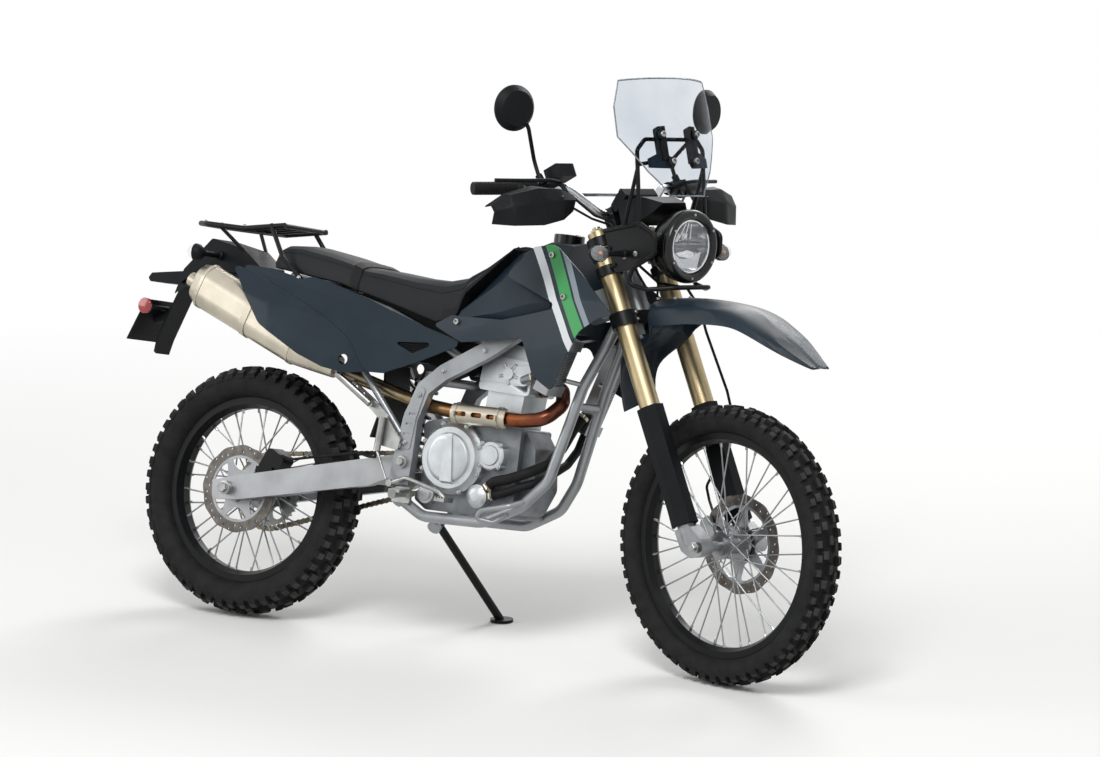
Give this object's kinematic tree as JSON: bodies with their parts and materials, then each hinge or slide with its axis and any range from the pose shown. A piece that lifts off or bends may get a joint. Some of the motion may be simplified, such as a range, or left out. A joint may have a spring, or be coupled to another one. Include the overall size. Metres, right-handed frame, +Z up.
{
  "type": "dual sport motorcycle",
  "caption": "Dual sport motorcycle with long-travel forks, knobbly tyres, high fender, screen, hand guards and luggage rack, parked on its side stand.",
  "frame": {"origin": "centre of the bounding box on the floor, the motorcycle parked and leaning on its side stand", "axes": "+X forward along the motorcycle, +Y to its left, +Z up"},
  "size_m": [2.1782, 0.8474, 1.4716],
  "materials": {
    "frame_paint": "satin silver paint",
    "aluminium": "cast and brushed",
    "steel": "machined",
    "black_plastic": "moulded black",
    "black_paint": "black powder coat",
    "exhaust_steel": "satin stainless",
    "black_rubber": "matt",
    "body_plastic": "dark slate grey",
    "gloss_black": "black",
    "seat_vinyl": "vinyl seat cover",
    "red_plastic": "dark lamp housing",
    "clear_glass": "clear",
    "gold": "gold anodised",
    "silver_cast": "cast",
    "bar": "silver",
    "tyre": "knobbly rubber",
    "rim": "black anodised"
  },
  "bodies": {
    "chassis": {"frame_spars": "frame_paint", "frame_cradle": "frame_paint", "subframe": "frame_paint", "swingarm": "aluminium", "rear_axle_set": "steel", "rear_shock": "steel", "crankcase": "aluminium", "engine_covers": "aluminium", "output_sprocket": "steel", "cylinder": "aluminium", "intake": "black_plastic", "exhaust_pipe": "exhaust_steel", "heat_guard": "steel", "muffler": "exhaust_steel", "radiators": "aluminium", "coolant_hoses": "black_rubber", "side_covers": "body_plastic", "rear_panels": "body_plastic", "shrouds": "body_plastic", "fuel_tank": "gloss_black", "seat": "seat_vinyl", "rear_fender": "black_plastic", "plate_bracket": "black_plastic", "tail_lamp": "red_plastic", "rear_signals": "red_plastic", "luggage_rack": "black_paint", "footpegs": "steel", "foot_controls": "steel", "drive_chain": "steel", "rear_caliper": "silver_cast", "rear_brake_hose": "black_rubber"},
    "steering": {"triple_clamps": "aluminium", "fork_tubes": "gold", "fork_legs": "silver_cast", "fork_guards": "black_plastic", "handlebar": "bar", "grips": "black_rubber", "controls": "black_plastic", "mirrors": "black_plastic", "hand_guards": "black_plastic", "headlamp": "black_plastic", "lamp_lens": "clear_glass", "lamp_cage": "black_paint", "windscreen": "clear_glass", "instrument": "black_plastic", "front_fender": "body_plastic", "front_signals": "clear_glass", "front_caliper": "silver_cast", "front_brake_hose": "black_rubber", "control_cables": "black_rubber"},
    "front_wheel": {"front_tyre": "tyre", "front_rim": "rim", "front_hub": "steel", "front_disc": "steel"},
    "rear_wheel": {"rear_tyre": "tyre", "rear_rim": "rim", "rear_hub": "steel", "rear_disc": "steel", "rear_sprocket": "steel"},
    "side_stand": {"side_stand": "black_paint"}
  },
  "joints": [
    {"name": "steering_turn", "type": "hinge", "parent": "chassis", "child": "steering", "pos_m": [0.37676, -0.03888, 0.93886], "axis": [-0.4499, 0.1857, 0.8736], "range_deg": [-30.25, 59.75]},
    {"name": "front_wheel_spin", "type": "hinge", "parent": "steering", "child": "front_wheel", "pos_m": [0.74917, -0.18073, 0.34483], "axis": [0.2274, 0.9697, -0.089], "continuous": true},
    {"name": "rear_wheel_spin", "type": "hinge", "parent": "chassis", "child": "rear_wheel", "pos_m": [-0.68905, -0.1702, 0.32105], "axis": [0, 0.9781, -0.2079], "continuous": true},
    {"name": "side_stand_fold", "type": "hinge", "parent": "chassis", "child": "side_stand", "pos_m": [-0.18103, -0.06577, 0.27364], "axis": [-0.0384, 0.8862, 0.4617], "range_deg": [0, 90]}
  ]
}
